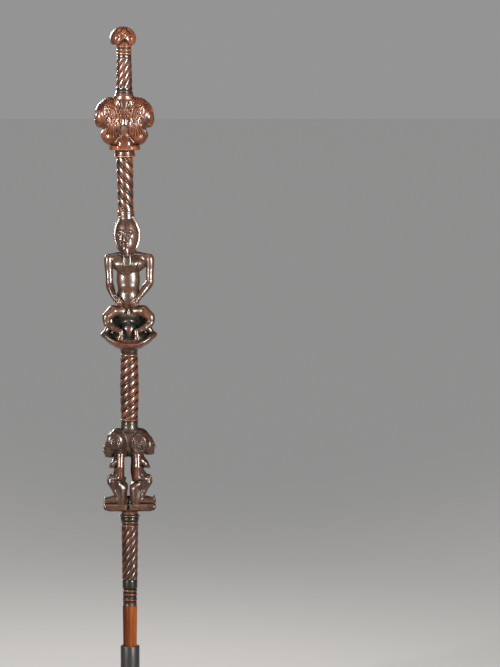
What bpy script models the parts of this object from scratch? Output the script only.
"""A carved wooden scepter, standing upright in a black metal stand.

Metres, +Z up. The origin is the middle of the stand's underside, and the front faces -Y.
"""

from math import cos, pi, radians, sin, sqrt, tau

import bmesh
import bpy
from mathutils import Euler, Matrix, Vector

# Stand: a square foot with a tube that holds the scepter's plain end
FOOT_SIDE = 0.190
FOOT_HEIGHT = 0.016
FOOT_CHAMFER = 0.003
TUBE_HEIGHT = 0.095
TUBE_RADIUS = 0.01475
TUBE_EDGE = 0.0008
WELD_WIDTH = 0.003
SOCKET_DEPTH = 0.060
SOCKET_CLEARANCE = 0.0010

# Lengths of the scepter's stretches along its axis, from the bottom up
PLAIN_LENGTH = 0.0628
LOW_COLLAR_LENGTH = 0.0411
LOW_TWIST_LENGTH = 0.0829
PAIR_COLLAR_LENGTH = 0.0246
PAIR_HEIGHT = 0.1296
PAIR_NECK_LENGTH = 0.0147
MIDDLE_TWIST_LENGTH = 0.0957
SEAT_COLLAR_LENGTH = 0.0116
SEATED_HEIGHT = 0.2100
SEATED_RING_LENGTH = 0.0050
UPPER_TWIST_LENGTH = 0.0827
LION_COLLAR_LENGTH = 0.0109
LION_HEIGHT = 0.0824
GRIP_COLLAR_LENGTH = 0.0135
GRIP_TWIST_LENGTH = 0.0459
KNOB_COLLAR_LENGTH = 0.0196
KNOB_HEIGHT = 0.0290

# Radii of the turned stretches
END_RADIUS = 0.0097
PLAIN_RADIUS = 0.0112
LOW_COLLAR_RADIUS = 0.0116
LOW_TWIST_RADIUS = 0.0130
PAIR_COLLAR_RADIUS = 0.0137
MIDDLE_TWIST_RADIUS = 0.0147
SEAT_COLLAR_RADIUS = 0.0133
UPPER_TWIST_RADIUS = 0.0130
LION_COLLAR_RADIUS = 0.0165
LION_NECK_RADIUS = 0.0146
GRIP_COLLAR_RADIUS = 0.0127
GRIP_TWIST_RADIUS = 0.0124
KNOB_COLLAR_RADIUS = 0.0110
KNOB_RADIUS = 0.0203

# Twisted strands: how many there are, the height of one whole turn and the depth of the grooves
GRIP_STRANDS = 7
GRIP_PITCH = 0.084
UPPER_STRANDS = 4
UPPER_PITCH = 0.064
MIDDLE_STRANDS = 4
MIDDLE_PITCH = 0.052
LOW_STRANDS = 7
LOW_PITCH = 0.088
GROOVE_DEPTH = 0.0018

# Star in relief on the knob. Its points are shares of the knob's radius and height, clockwise from the top
STAR_TIPS = ((0.14, 0.95), (0.796, 0.522), (0.652, 0.069), (-0.546, 0.061), (-0.559, 0.605))
STAR_CORNERS = ((0.305, 0.748), (0.435, 0.454), (0.124, 0.380), (-0.259, 0.463), (-0.127, 0.69))
STAR_THROAT = 2
STAR_GROOVE_WIDTH = 0.0044
STAR_GROOVE_DEPTH = 0.0030
STAR_TIP_GAP = 0.03
DIAMOND_CENTRE = (0.146, 0.551)
DIAMOND_SIZE = 0.0043
DIAMOND_GROOVE = 0.0011
DIAMOND_DEPTH = 0.0009
THROAT_DEPTH = 0.0065
KNOB_EQUATOR_SHARE = 0.34
KNOB_UNDERSIDE_SHARE = 0.88
KNOB_SHIFT = 0.0017

# The shaft isn't straight: between these shares of its height it bows towards -X
BOW_START_SHARE = 0.42
BOW_END_SHARE = 0.88
BOW = 0.0070

# How finely the wood is faceted
TURNED_SIDES = 12
KNOB_SIDES = 20
TUBE_SIDES = 24
TWIST_STEP = radians(44)
TWIST_COLUMNS = 17
CLAY_GRAIN = 0.0014
LION_TRIANGLES = 1500
SEATED_TRIANGLES = 1200
PAIR_TRIANGLES = 1100
OVERLAP = 0.0012

# Heights where the stretches meet
RIM = FOOT_HEIGHT + TUBE_HEIGHT
TIP = RIM - SOCKET_DEPTH
PLAIN_TOP = RIM + PLAIN_LENGTH
LOW_COLLAR_TOP = PLAIN_TOP + LOW_COLLAR_LENGTH
LOW_TWIST_TOP = LOW_COLLAR_TOP + LOW_TWIST_LENGTH
PAIR_COLLAR_TOP = LOW_TWIST_TOP + PAIR_COLLAR_LENGTH
PAIR_TOP = PAIR_COLLAR_TOP + PAIR_HEIGHT
PAIR_NECK_TOP = PAIR_TOP + PAIR_NECK_LENGTH
MIDDLE_TWIST_TOP = PAIR_NECK_TOP + MIDDLE_TWIST_LENGTH
SEAT_COLLAR_TOP = MIDDLE_TWIST_TOP + SEAT_COLLAR_LENGTH
SEATED_TOP = SEAT_COLLAR_TOP + SEATED_HEIGHT
SEATED_RING_TOP = SEATED_TOP + SEATED_RING_LENGTH
UPPER_TWIST_TOP = SEATED_RING_TOP + UPPER_TWIST_LENGTH
LION_COLLAR_TOP = UPPER_TWIST_TOP + LION_COLLAR_LENGTH
LION_TOP = LION_COLLAR_TOP + LION_HEIGHT
GRIP_COLLAR_TOP = LION_TOP + GRIP_COLLAR_LENGTH
GRIP_TWIST_TOP = GRIP_COLLAR_TOP + GRIP_TWIST_LENGTH
KNOB_COLLAR_TOP = GRIP_TWIST_TOP + KNOB_COLLAR_LENGTH
KNOB_TOP = KNOB_COLLAR_TOP + KNOB_HEIGHT
RIM_RADIUS = END_RADIUS + (PLAIN_RADIUS - END_RADIUS) * SOCKET_DEPTH / (SOCKET_DEPTH + PLAIN_LENGTH)

# The figures are drawn in millimetres at these heights, and scaled to the heights above
PAIR_DRAWN = 129.6
SEATED_DRAWN = 210.0
LION_DRAWN = 82.4


def clear_scene():
    for old in list(bpy.data.objects):
        bpy.data.objects.remove(old)


def new_object(name, mesh, collection):
    made = bpy.data.objects.new(name, mesh)
    collection.objects.link(made)
    return made


def from_bmesh(name, built, collection):
    mesh = bpy.data.meshes.new(name)
    built.to_mesh(mesh)
    built.free()
    return new_object(name, mesh, collection)


def baked(made):
    """Apply an object's modifiers to its mesh."""
    graph = bpy.context.evaluated_depsgraph_get()
    mesh = bpy.data.meshes.new_from_object(made.evaluated_get(graph))
    made.modifiers.clear()
    made.data = mesh
    return made


def combined(base, other, operation):
    """Join or cut one closed object with another, which is used up."""
    step = base.modifiers.new(operation.lower(), "BOOLEAN")
    step.operation = operation
    step.solver = "EXACT"
    step.object = other
    baked(base)
    bpy.data.objects.remove(other)
    return base


def turned(name, profile, collection, sides=TURNED_SIDES):
    """Turn a profile of (radius, height), given from the top down, about the axis."""
    built = bmesh.new()
    top, low = profile[0][1], profile[-1][1]
    points = [(0.0, top)] + profile + [(0.0, low)]
    verts = [built.verts.new((radius, 0, height)) for radius, height in points]
    for first, second in zip(verts, verts[1:]):
        built.edges.new((first, second))
    made = from_bmesh(name, built, collection)
    screw = made.modifiers.new("turn", "SCREW")
    screw.steps = sides
    screw.render_steps = sides
    screw.use_merge_vertices = True
    screw.merge_threshold = 0.00001
    return baked(made)


def twisted(name, low, high, radius, strands, pitch, hand, collection):
    """A column of strands wound about the axis. radius(share) gives its size from bottom to top."""
    built = bmesh.new()
    across = max(3, round(TWIST_COLUMNS / strands))
    count = strands * across
    steps = max(2, round((high - low) / pitch * tau / TWIST_STEP))
    rings = []
    for step in range(steps + 1):
        share = step / steps
        height = low + share * (high - low)
        wound = hand * (height - low) / pitch * tau
        ring = []
        for index in range(count):
            depth = GROOVE_DEPTH * (1 - abs(sin(pi * index / across)) ** 0.7)
            size = radius(share) - depth
            angle = wound + tau * index / count
            ring.append(built.verts.new((size * cos(angle), size * sin(angle), height)))
        rings.append(ring)
    for lower, upper in zip(rings, rings[1:]):
        for index in range(count):
            after = (index + 1) % count
            built.faces.new((lower[index], lower[after], upper[after], upper[index]))
    built.faces.new(list(reversed(rings[0])))
    built.faces.new(rings[-1])
    return from_bmesh(name, built, collection)


class Clay:
    """Balls, limbs and blocks, drawn in millimetres, that are fused into one form."""

    def __init__(self, height, drawn, base):
        self.place = Matrix.Translation((0, 0, base)) @ Matrix.Scale(height / drawn, 4)
        self.points, self.faces = [], []
        self.round_ball = primitive(bmesh.ops.create_uvsphere, u_segments=20, v_segments=12, radius=1)
        self.round_bar = primitive(
            bmesh.ops.create_cone, cap_ends=True, segments=16, radius1=1, radius2=1, depth=1
        )
        self.cube = primitive(bmesh.ops.create_cube, size=2)

    def mirrored(self):
        """From here on, draw the other way round along X."""
        self.place = self.place @ Matrix.Scale(-1, 4, Vector((1, 0, 0)))

    def add(self, shape, place, ends=(1, 1)):
        """Add a primitive. ends widens its bottom and its top, where it is a bar."""
        points, faces = shape
        first = len(self.points)
        whole = self.place @ place
        for point in points:
            wide = ends[0] if point.z < 0 else ends[1]
            self.points.append(whole @ Vector((point.x * wide, point.y * wide, point.z)))
        order = 1 if whole.determinant() > 0 else -1
        self.faces += [[first + index for index in face[::order]] for face in faces]

    def ball(self, centre, radii, tilt=(0, 0, 0)):
        self.add(self.round_ball, placed(centre, radii, tilt))

    def block(self, centre, halves, tilt=(0, 0, 0)):
        self.add(self.cube, placed(centre, halves, tilt))

    def limb(self, points):
        """A round limb through points of (x, y, z, radius)."""
        for x, y, z, radius in points:
            self.ball((x, y, z), (radius, radius, radius))
        for first, second in zip(points, points[1:]):
            start, end = Vector(first[:3]), Vector(second[:3])
            along = end - start
            turn = along.to_track_quat("Z", "Y").to_matrix().to_4x4()
            stretch = Matrix.Scale(along.length, 4, Vector((0, 0, 1)))
            place = Matrix.Translation((start + end) / 2) @ turn @ stretch
            self.add(self.round_bar, place, (first[3], second[3]))

    def fused(self, name, triangles, collection):
        mesh = bpy.data.meshes.new(name)
        mesh.from_pydata(self.points, [], self.faces)
        made = new_object(name, mesh, collection)
        remesh = made.modifiers.new("fuse", "REMESH")
        remesh.mode = "VOXEL"
        remesh.voxel_size = CLAY_GRAIN
        smooth = made.modifiers.new("smooth", "SMOOTH")
        smooth.factor = 0.5
        smooth.iterations = 1
        baked(made)
        thin = made.modifiers.new("thin", "DECIMATE")
        thin.ratio = triangles / (2 * len(made.data.polygons))
        thin.use_collapse_triangulate = True
        return baked(made)


def primitive(operator, **sizes):
    """Points and faces of one of Blender's primitives."""
    built = bmesh.new()
    operator(built, **sizes)
    points = [vert.co.copy() for vert in built.verts]
    faces = [[vert.index for vert in face.verts] for face in built.faces]
    built.free()
    return points, faces


def placed(centre, radii, tilt):
    turn = Euler([radians(angle) for angle in tilt]).to_matrix().to_4x4()
    return Matrix.Translation(centre) @ turn @ Matrix.Diagonal(Vector((*radii, 1)))


def on_surface(balls, x, z):
    """How far the union of (centre, radii) balls reaches along Y at (x, z)."""
    reach = 0.0
    for (cx, cy, cz), (rx, ry, rz) in balls:
        left = 1 - ((x - cx) / rx) ** 2 - ((z - cz) / rz) ** 2
        if left > 0:
            reach = max(reach, cy + ry * sqrt(left))
    return reach


# Masses of one lion's head, facing +X, on the axis at X 0
LION_MASSES = (
    ((21.5, 0, 57.0), (20.0, 22.0, 24.2)),
    ((35.0, 0, 55.0), (9.8, 14.5, 18.0)),
    ((16.5, 0, 41.0), (18.5, 24.5, 28.0)),
    ((21.5, 0, 20.0), (13.5, 18.4, 12.5)),
)
LION_FACE = (
    ((39.2, 0, 45.0), (7.4, 10.5, 8.5)),
    ((38.5, 0, 39.0), (5.6, 8.5, 4.6)),
    ((29.5, 0, 45.5), (10.0, 16.5, 12.0)),
)
# Locks of the mane as (x, z) along each lock, root to tip, and the lock's width
LION_LOCKS = (
    (((13.4, 77.7), (10.0, 70.7), (9.7, 64.4)), 6.5),
    (((21.6, 69.9), (16.0, 66.2), (11.2, 62.9)), 6.0),
    (((5.2, 67.3), (3.0, 60.3), (4.1, 54.3), (6.7, 49.1)), 5.0),
    (((11.2, 62.5), (9.3, 55.8), (10.0, 49.1), (12.6, 43.5)), 5.0),
    (((20.5, 65.1), (15.6, 58.8), (14.9, 50.6), (15.6, 44.6)), 6.0),
    (((2.8, 51.7), (1.1, 44.6), (4.1, 36.8)), 4.5),
    (((7.4, 46.9), (6.3, 38.7), (7.8, 29.0), (3.3, 20.5)), 4.6),
    (((12.6, 43.2), (11.2, 33.5), (11.9, 26.0), (9.7, 19.7)), 4.2),
    (((17.1, 44.6), (17.4, 30.5), (18.4, 19.0)), 4.6),
    (((20.8, 44.6), (23.1, 32.7), (27.5, 20.5)), 4.8),
    (((24.2, 52.8), (28.6, 46.9), (33.5, 43.9)), 3.6),
    (((21.2, 49.1), (27.2, 41.7), (32.6, 35.7)), 4.4),
    (((27.4, 34.5), (32.1, 26.8), (32.9, 19.7)), 6.0),
)
CROWN_RIDGES = 7
CORE_REACH = 15.5
LOCK_RELIEF = 2.0


def lion_heads(collection):
    """Two lions' heads back to back, with one mane each, on a small slab."""
    clay = Clay(LION_HEIGHT, LION_DRAWN, LION_COLLAR_TOP)
    clay.limb([(0, 0, 4, 14.0), (0, 0, 84, 14.0)])
    clay.ball((0, 0, 40), (15, 17, 36))
    clay.ball((0, 0, 11.5), (21.5, 17.5, 8.5))
    clay.ball((0, 0, 14), (12, 19.6, 16))
    lion_slab(clay)
    for _ in range(2):
        for centre, radii in LION_MASSES + LION_FACE:
            clay.ball(centre, radii)
        for side in (-1, 1):
            ear = (27.2, 19.0, 51.5, 2.2), (27.8, 20.0, 59.0, 4.0), (29.0, 17.0, 67.6, 1.4)
            clay.limb([(x, side * y, z, radius) for x, y, z, radius in ear])
            for points, width in LION_LOCKS:
                lion_lock(clay, points, width, side)
        for index in range(CROWN_RIDGES):
            angle = radians(30 + 13 * index)
            x, z = 20.0 + 21.0 * cos(angle), 57.0 + 23.6 * sin(angle)
            clay.limb([(x, -13, z - 3.0, 1.8), (x, 0, z - 0.5, 2.4), (x, 13, z - 3.0, 1.8)])
        clay.mirrored()
    return clay.fused("lion_heads", LION_TRIANGLES, collection)


def lion_slab(clay):
    """The slab under the lions, with its four corners cut off."""
    thick = 3.3
    clay.block((0, 0, thick), (23.8, 8.0, thick))
    clay.block((0, 0, thick), (11.2, 20.6, thick))
    clay.block((0, 0, 8.0), (10.5, 20.3, 8.0))
    for turn in (45, 135, 225, 315):
        x, y = 15.5 * cos(radians(turn)), 15.5 * sin(radians(turn))
        clay.block((x, y, thick), (7.0, 8.9, thick), (0, 0, turn))


def lion_lock(clay, points, width, side):
    """A raised lock that follows the head's side and thins towards both ends."""
    swell = [0.45] + [1.0] * (len(points) - 2) + [0.25]
    limb = []
    for (x, z), share in zip(points, swell):
        radius = width / 2 * share
        y = on_surface(LION_MASSES, x, z)
        y = max(y, CORE_REACH) - radius + LOCK_RELIEF
        limb.append((x, side * y, z, radius))
    clay.limb(limb)


def seated_figure(collection):
    """A person seated on a dished crescent, with the hands on the belly."""
    clay = Clay(SEATED_HEIGHT, SEATED_DRAWN, SEAT_COLLAR_TOP)
    for index in range(-8, 9):
        share = index / 8
        width = 23.0 * sqrt(1 - 0.80 * share**2)
        x, z = 37.5 * share, 7.0 + 16.0 * share**2
        clay.ball((x, 0, z), (8.0, width, 6.4 - 1.6 * share**2))
    clay.ball((0, 0, 6.5), (24.0, 20.0, 7.8))
    clay.limb([(0, 0, 0.5, 12.6), (0, 0, 8, 14.0)])
    clay.ball((0.5, 3, 53), (23.0, 17.0, 15.0))
    clay.limb([(0, 5, 16, 15.0), (0, 4, 45, 15.0)])
    clay.ball((0, 2.5, 16.0), (36.0, 18.0, 14.0))
    clay.ball((0, 8, 40), (31.0, 11.5, 21.0))
    clay.ball((0.5, -4, 30), (13.0, 14.0, 17.0))
    clay.ball((0.5, -1, 83), (19.4, 17.0, 24.0))
    clay.ball((1.0, 1, 108), (19.2, 14.5, 30.0))
    clay.ball((2.0, 0, 133), (27.5, 15.5, 17.0))
    clay.block((2.0, -2, 137), (22.0, 11.0, 7.0))
    clay.limb([(-28.5, 1, 141.5, 6.2), (3, 1, 147, 8.0), (35.0, 1, 141.5, 6.2)])
    clay.limb([(0.5, 1, 140, 10.5), (0.5, 0, 158, 11.0)])
    for side, shoulder, elbow, wrist in (
        (-1, (-28.7, 0, 141.5), (-28.2, -2, 101.0), (-15.0, -19, 79.0)),
        (1, (34.8, 0, 141.5), (34.0, -2, 104.0), (13.0, -19, 76.0)),
    ):
        clay.limb([(*shoulder, 6.4), (*elbow, 5.9), (*wrist, 4.8)])
        x, y, z = wrist
        clay.ball((x - 4.0 * side, y - 0.5, z - 4.5), (6.6, 4.2, 7.0), (0, 38 * side, 0))
    for side in (-1, 1):
        clay.limb([(side * 10, -3, 59.5, 9.8), (side * 23, -10, 60, 9.2), (side * 33, -14, 52.5, 8.2)])
        clay.limb([(side * 28.5, 0, 34, 6.5), (side * 38, 0, 23, 4.5)])
        clay.limb([(side * 34, -15, 45, 7.4), (side * 25, -19, 35, 5.4), (side * 11.6, -21.5, 29.8, 4.6)])
        clay.limb([(side * 12, -21.5, 29, 4.6), (side * 13.5, -22.5, 19, 3.8)])
    clay.limb([(0.3, -17.5, 62, 3.4), (0.3, -19.5, 52, 3.0)])
    clay.ball((0.7, -1, 176), (20.3, 19.0, 34.0))
    clay.ball((0.7, -6, 163), (15.5, 15.0, 19.0))
    clay.limb([(0.5, 0, 188, 14.0), (0, 0, 209.5, 12.4)])
    clay.limb([(0.7, -17.5, 172, 3.4), (0.7, -20.4, 168, 3.2)])
    clay.limb([(-0.8, -16, 152.5, 5.0), (-0.6, -15.5, 148, 5.6)])
    clay.block((-0.4, -14.6, 141), (6.2, 4.2, 11.5), (-6, 0, 0))
    for side in (-1, 1):
        clay.limb([(side * 15, -9.5, 199, 1.8), (side * 19.2, -6.5, 183, 2.2), (side * 15.5, -8.5, 160, 1.8)])
    return clay.fused("seated_figure", SEATED_TRIANGLES, collection)


def squatting_pair(collection):
    """Two people squatting back to back, each with coiled hair and the hands on the knees."""
    clay = Clay(PAIR_HEIGHT, PAIR_DRAWN, PAIR_COLLAR_TOP)
    clay.block((0, 0, 7.6), (40.2, 21.6, 4.6))
    clay.block((0, 0, 4.6), (35.0, 19.0, 4.0))
    clay.limb([(0, 0, 1, 12.8), (0, 0, 10, 14)])
    clay.limb([(0, 0, 128.5, 13.0), (0, 0, 98, 8.5), (0, 0, 91, 7.5)])
    squatter(clay, lean=0.0, back=1.0)
    clay.mirrored()
    squatter(clay, lean=-4.0, back=5.0)
    return clay.fused("squatting_pair", PAIR_TRIANGLES, collection)


def squatter(clay, lean, back):
    """One of the pair, facing +X. lean drops the face, and back sets it off from the middle."""
    clay.ball((16.0 + back / 3, 0, 108.5), (16.5, 17.5, 21.0))
    clay.ball((29.0 + back / 6, 0, 102.5 + lean), (9.6, 12.5, 16.0))
    clay.limb([(36.5, 0, 103 + lean, 2.6), (38.4, 0, 99 + lean, 2.2)])
    clay.ball((34.0, 0, 91 + lean), (4.6, 6.0, 4.6))
    for side in (-1, 1):
        clay.ball((14.5 + back, side * 15.0, 105.5 + back / 2), (10.5, 5.0, 11.0))
        clay.ball((14.5 + back, side * 18.5, 105.5 + back / 2), (4.6, 3.6, 4.8))
        clay.limb([(11.5 + back / 2, side * 14, 90, 6.2), (11.7 + back / 2, side * 17.5, 53, 5.4)])
        clay.limb([(12 + back / 2, side * 17.5, 53, 5.0), (30.5, side * 14.5, 50.5, 3.9)])
        clay.limb([(17.5, side * 8.5, 79, 8.0), (24, side * 9.5, 73, 5.4), (30.3, side * 10, 68.5, 1.7)])
        clay.limb([(9 + back / 2, side * 9, 36, 9.5), (27.5, side * 13, 46, 7.2)])
        clay.limb([(27.5, side * 13, 45, 6.4), (15.5, side * 13, 20, 6.2)])
        clay.limb([(16, side * 13, 17.5, 6.0), (36, side * 13, 16.5, 5.0)])
        clay.limb([(8.7 + back, side * 9, 34, 10.2), (8.7 + back, side * 9.5, 17, 9.8)])
    clay.limb([(12 + back / 2, 0, 96, 9.5), (12 + back / 2, 0, 84, 11.0)])
    clay.ball((11.5 + back / 2, 0, 66), (11.0, 14.0, 30.0))
    clay.ball((18, 0, 50), (11.5, 12.0, 14.0))
    clay.limb([(11 + back / 2, -14, 89, 6.5), (11 + back / 2, 14, 89, 6.5)])


def knob_radius(height):
    """The knob's radius at a height: a dome above its widest part, and slightly drawn in below."""
    equator = KNOB_COLLAR_TOP + KNOB_EQUATOR_SHARE * KNOB_HEIGHT
    if height > equator:
        share = (height - equator) / (KNOB_TOP - equator)
        return KNOB_RADIUS * sqrt(max(1 - share**2, 0.0))
    share = (equator - height) / (equator - KNOB_COLLAR_TOP)
    return KNOB_RADIUS * (1 - (1 - KNOB_UNDERSIDE_SHARE) * share**2)


def on_knob(point, front, depth):
    """A place on the knob's front (1) or back (-1), from shares of its radius and height."""
    x, z = point[0] * KNOB_RADIUS, KNOB_COLLAR_TOP + point[1] * KNOB_HEIGHT
    y = sqrt(max(knob_radius(z) ** 2 - x**2, 0.0)) - depth
    return Vector((x, -front * y, z))


def knob(collection):
    """The domed knob, with a star in relief on its front and back."""
    equator = KNOB_COLLAR_TOP + KNOB_EQUATOR_SHARE * KNOB_HEIGHT
    heights = [equator + (KNOB_TOP - equator) * cos(radians(12 + 13 * index)) for index in range(6)]
    heights += [equator, (equator + KNOB_COLLAR_TOP) / 2, KNOB_COLLAR_TOP + OVERLAP / 2]
    profile = [(knob_radius(height), height) for height in heights]
    profile.append((KNOB_COLLAR_RADIUS, KNOB_COLLAR_TOP))
    profile.append((KNOB_COLLAR_RADIUS - OVERLAP, KNOB_COLLAR_TOP - OVERLAP))
    made = turned("knob", profile, collection, KNOB_SIDES)
    made.data.transform(Matrix.Rotation(pi / KNOB_SIDES, 4, "Z"))
    for front in (-1, 1):
        for index in range(5):
            if index != STAR_THROAT:
                star_groove(made, index, front, collection)
        throat_cut(made, front, collection)
    diamond_groove(made, collection)
    made.data.transform(Matrix.Translation((-KNOB_SHIFT, 0, 0)))
    return made


def star_groove(made, index, front, collection):
    """Cut one angled groove between two tips, deepest at the star's inner corner between them."""
    proud = -0.0002
    first, corner, second = (
        Vector(point) for point in (STAR_TIPS[index], STAR_CORNERS[index], STAR_TIPS[(index + 1) % 5])
    )
    middle = (first + second) / 2
    away = (middle - corner).normalized() * STAR_GROOVE_WIDTH / KNOB_RADIUS
    cutter = bmesh.new()
    places = (
        on_knob(first.lerp(middle, STAR_TIP_GAP), front, proud),
        on_knob(second.lerp(middle, STAR_TIP_GAP), front, proud),
        on_knob(corner, front, -STAR_GROOVE_DEPTH),
        on_knob(corner, front, STAR_GROOVE_DEPTH),
        on_knob(corner + away, front, proud),
    )
    one, two, high, deep, out = [cutter.verts.new(place) for place in places]
    for face in (
        (one, high, deep),
        (two, deep, high),
        (one, deep, out),
        (two, out, deep),
        (one, out, high),
        (two, high, out),
    ):
        cutter.faces.new(face)
    bmesh.ops.recalc_face_normals(cutter, faces=cutter.faces)
    combined(made, from_bmesh("star_groove", cutter, collection), "DIFFERENCE")


def throat_cut(made, front, collection):
    """Cut the knob back towards its neck below the star, between the two lower arms."""
    cutter = bmesh.new()
    apex = on_knob(STAR_CORNERS[STAR_THROAT], front, 0)
    far, near = 1.2 * KNOB_RADIUS, KNOB_RADIUS - THROAT_DEPTH
    foot = KNOB_COLLAR_TOP - OVERLAP
    corners = [(apex.x, far, apex.z), (apex.x, near + THROAT_DEPTH / 2, apex.z)]
    for tip in (STAR_TIPS[STAR_THROAT], STAR_TIPS[STAR_THROAT + 1]):
        x = 0.92 * tip[0] * KNOB_RADIUS
        corners += [(x, far, foot), (x, near, foot)]
    verts = [cutter.verts.new((x, -front * y, z)) for x, y, z in corners]
    bmesh.ops.convex_hull(cutter, input=verts)
    bmesh.ops.recalc_face_normals(cutter, faces=cutter.faces)
    combined(made, from_bmesh("throat", cutter, collection), "DIFFERENCE")


def diamond_groove(made, collection):
    """Cut a diamond outline into the middle of the front star."""
    built = bmesh.new()
    centre = on_knob(DIAMOND_CENTRE, 1, 0)
    outer, inner = DIAMOND_SIZE, DIAMOND_SIZE - 2 * DIAMOND_GROOVE
    near, far = centre.y + DIAMOND_DEPTH, centre.y - KNOB_RADIUS / 4
    rings = []
    for size, y in ((outer, far), (outer, near), (inner, near), (inner, far)):
        ring = []
        for index in range(4):
            angle = tau * index / 4
            ring.append(built.verts.new((centre.x + size * sin(angle), y, centre.z + size * cos(angle))))
        rings.append(ring)
    for lower, upper in zip(rings, rings[1:] + rings[:1]):
        for index in range(4):
            after = (index + 1) % 4
            built.faces.new((lower[index], lower[after], upper[after], upper[index]))
    bmesh.ops.recalc_face_normals(built, faces=built.faces)
    return combined(made, from_bmesh("diamond", built, collection), "DIFFERENCE")


def bead(radius, low, high, proud):
    """Profile of one rounded ring, from the top down, between two heights."""
    return [(radius, high), (radius + proud, (low + high) / 2), (radius, low)]


def low_collar():
    """The plain lower end and the four beads above it. Each profile here runs from the top down."""
    length, radius = LOW_COLLAR_LENGTH, LOW_COLLAR_RADIUS
    profile = [(radius, LOW_COLLAR_TOP + OVERLAP / 2), (radius, PLAIN_TOP + 0.64 * length)]
    for index in range(4):
        high = PLAIN_TOP + length * (0.60 - 0.15 * index)
        profile += bead(radius - 0.0012, high - 0.12 * length, high, 0.0011)
    return profile + [(PLAIN_RADIUS, PLAIN_TOP), (RIM_RADIUS, RIM), (END_RADIUS, TIP)]


def pair_collar():
    low, length, radius = LOW_TWIST_TOP, PAIR_COLLAR_LENGTH, PAIR_COLLAR_RADIUS
    return [
        (radius - 0.0006, PAIR_COLLAR_TOP + OVERLAP),
        (radius - 0.0012, low + 0.84 * length),
        (radius + 0.0012, low + 0.78 * length),
        (radius + 0.0010, low + 0.71 * length),
        (radius - 0.0008, low + 0.66 * length),
        (radius, low + 0.58 * length),
        (radius, low + 0.34 * length),
        (radius - 0.0012, low + 0.27 * length),
        (radius - 0.0012, low + 0.17 * length),
        (radius - 0.0001, low + 0.10 * length),
        (radius - 0.0003, low),
    ]


def pair_neck():
    low, length, radius = PAIR_TOP, PAIR_NECK_LENGTH, SEAT_COLLAR_RADIUS
    profile = [(radius, PAIR_NECK_TOP + OVERLAP / 2)]
    profile += bead(radius - 0.0008, low + 0.72 * length, PAIR_NECK_TOP - OVERLAP / 2, 0.0010)
    profile += bead(radius - 0.0008, low + 0.42 * length, low + 0.68 * length, 0.0010)
    return profile + [(radius - 0.0002, low - 4 * OVERLAP)]


def seat_collar():
    low, length, radius = MIDDLE_TWIST_TOP, SEAT_COLLAR_LENGTH, SEAT_COLLAR_RADIUS
    profile = [(radius, SEAT_COLLAR_TOP + OVERLAP), (radius, low + 0.45 * length)]
    profile += bead(radius - 0.0010, low, low + 0.40 * length, 0.0011)
    return profile + [(radius - 0.0008, low - OVERLAP / 2)]


def seated_ring():
    radius = UPPER_TWIST_RADIUS
    profile = [(radius - 0.0016, SEATED_RING_TOP + OVERLAP / 2)]
    profile += bead(radius - 0.0012, SEATED_TOP, SEATED_RING_TOP, 0.0008)
    return profile + [(radius - 0.0012, SEATED_TOP - 3 * OVERLAP)]


def lion_collar():
    low, high, radius = UPPER_TWIST_TOP, LION_COLLAR_TOP, LION_COLLAR_RADIUS
    return [
        (radius - 0.0020, high + OVERLAP),
        (radius - 0.0018, high - 0.0005),
        (radius - 0.0004, low + 0.0012),
        (radius, low + 0.0006),
        (radius - 0.0003, low),
        (UPPER_TWIST_RADIUS - 0.0006, low - 0.0002),
        (UPPER_TWIST_RADIUS - 0.0010, low - OVERLAP),
    ]


def grip_collar():
    low, length, radius = LION_TOP, GRIP_COLLAR_LENGTH, GRIP_COLLAR_RADIUS
    profile = [(radius - 0.0005, GRIP_COLLAR_TOP + OVERLAP / 2)]
    profile += bead(radius - 0.0009, low + 0.84 * length, GRIP_COLLAR_TOP, 0.0008)
    profile += bead(radius - 0.0009, low + 0.60 * length, low + 0.72 * length, 0.0009)
    profile += [(radius - 0.0005, low + 0.46 * length), (radius, low + 0.43 * length)]
    return profile + [(LION_NECK_RADIUS, low + 0.20 * length), (LION_NECK_RADIUS, low - 4 * OVERLAP)]


def knob_collar():
    low, length, radius = GRIP_TWIST_TOP, KNOB_COLLAR_LENGTH, KNOB_COLLAR_RADIUS
    profile = [(radius + 0.0012, KNOB_COLLAR_TOP + OVERLAP), (radius + 0.0019, low + 0.96 * length)]
    profile += [(radius + 0.0019, low + 0.84 * length), (radius - 0.0001, low + 0.79 * length)]
    profile += bead(radius - 0.0009, low + 0.52 * length, low + 0.68 * length, 0.0011)
    profile += bead(radius - 0.0009, low + 0.24 * length, low + 0.38 * length, 0.0010)
    return profile + [(radius - 0.0003, low + 0.20 * length), (radius - 0.0002, low - OVERLAP / 2)]


def collars(collection):
    """The turned stretches between the twists and the figures, from the bottom up."""
    profiles = (
        low_collar,
        pair_collar,
        pair_neck,
        seat_collar,
        seated_ring,
        lion_collar,
        grip_collar,
        knob_collar,
    )
    return [turned(profile.__name__, profile(), collection) for profile in profiles]


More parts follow.
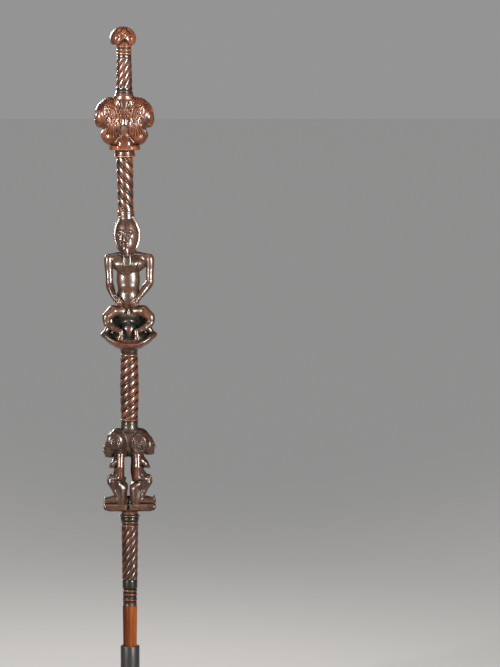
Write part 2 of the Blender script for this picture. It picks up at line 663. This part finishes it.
def twists(collection):
    """The four stretches carved as twisted strands, from the bottom up."""

    def low_size(share):
        return LOW_TWIST_RADIUS - 0.0012 * (1 - share)

    def middle_size(share):
        return MIDDLE_TWIST_RADIUS - 0.0014 * (2 * share - 1) ** 2

    def upper_size(share):
        return UPPER_TWIST_RADIUS - 0.0011 * (1 - share)

    def grip_size(share):
        return GRIP_TWIST_RADIUS - 0.0013 * share

    made = []
    for name, low, high, radius, strands, pitch, hand in (
        ("low_twist", LOW_COLLAR_TOP, LOW_TWIST_TOP, low_size, LOW_STRANDS, LOW_PITCH, 1),
        ("middle_twist", PAIR_NECK_TOP, MIDDLE_TWIST_TOP, middle_size, MIDDLE_STRANDS, MIDDLE_PITCH, 1),
        ("upper_twist", SEATED_RING_TOP, UPPER_TWIST_TOP, upper_size, UPPER_STRANDS, UPPER_PITCH, -1),
        ("grip_twist", GRIP_COLLAR_TOP, GRIP_TWIST_TOP, grip_size, GRIP_STRANDS, GRIP_PITCH, 1),
    ):
        ends = low - OVERLAP, high + OVERLAP
        made.append(twisted(name, *ends, radius, strands, pitch, hand, collection))
    return made


def bow(made):
    """Bend the straight scepter into the shallow bow of the real one."""
    start = RIM + BOW_START_SHARE * (KNOB_TOP - RIM)
    end = RIM + BOW_END_SHARE * (KNOB_TOP - RIM)
    for vert in made.data.vertices:
        share = min(max((vert.co.z - start) / (end - start), 0.0), 1.0)
        vert.co.x -= BOW * share * share * (3 - 2 * share)


def scepter(collection):
    """All of the carved wood as one solid."""
    made = knob(collection)
    made.name = "scepter"
    pieces = collars(collection) + twists(collection)
    pieces += [lion_heads(collection), seated_figure(collection), squatting_pair(collection)]
    for piece in pieces:
        combined(made, piece, "UNION")
    bow(made)
    made.data.shade_smooth()
    made.data.set_sharp_from_angle(angle=radians(40))
    return made


def stand(collection):
    """A square foot with a socket tube, welded into one piece."""
    bore = RIM_RADIUS + SOCKET_CLEARANCE
    profile = [
        (bore, TIP - SOCKET_CLEARANCE),
        (bore, RIM - TUBE_EDGE),
        (bore + TUBE_EDGE, RIM),
        (TUBE_RADIUS - TUBE_EDGE, RIM),
        (TUBE_RADIUS, RIM - TUBE_EDGE),
        (TUBE_RADIUS, FOOT_HEIGHT + WELD_WIDTH),
        (TUBE_RADIUS + WELD_WIDTH, FOOT_HEIGHT - OVERLAP),
    ]
    tube = turned("tube", profile, collection, TUBE_SIDES)

    built = bmesh.new()
    bmesh.ops.create_cube(built, size=1)
    bmesh.ops.scale(built, vec=(FOOT_SIDE, FOOT_SIDE, FOOT_HEIGHT), verts=built.verts)
    bmesh.ops.translate(built, vec=(0, 0, FOOT_HEIGHT / 2), verts=built.verts)
    foot = from_bmesh("stand", built, collection)
    chamfer = foot.modifiers.new("chamfer", "BEVEL")
    chamfer.width = FOOT_CHAMFER
    chamfer.segments = 2
    baked(foot)
    return combined(foot, tube, "UNION")


def coloured(made, name, colour, roughness, metallic):
    material = bpy.data.materials.new(name)
    material.use_nodes = True
    shader = material.node_tree.nodes["Principled BSDF"]
    shader.inputs["Base Color"].default_value = (*colour, 1)
    shader.inputs["Roughness"].default_value = roughness
    shader.inputs["Metallic"].default_value = metallic
    made.data.materials.clear()
    made.data.materials.append(material)


def main():
    clear_scene()
    collection = bpy.data.collections.new("scepter")
    bpy.context.scene.collection.children.link(collection)
    coloured(scepter(collection), "carved_wood", (0.12, 0.035, 0.015), 0.32, 0.0)
    coloured(stand(collection), "black_metal", (0.012, 0.012, 0.013), 0.28, 1.0)


main()
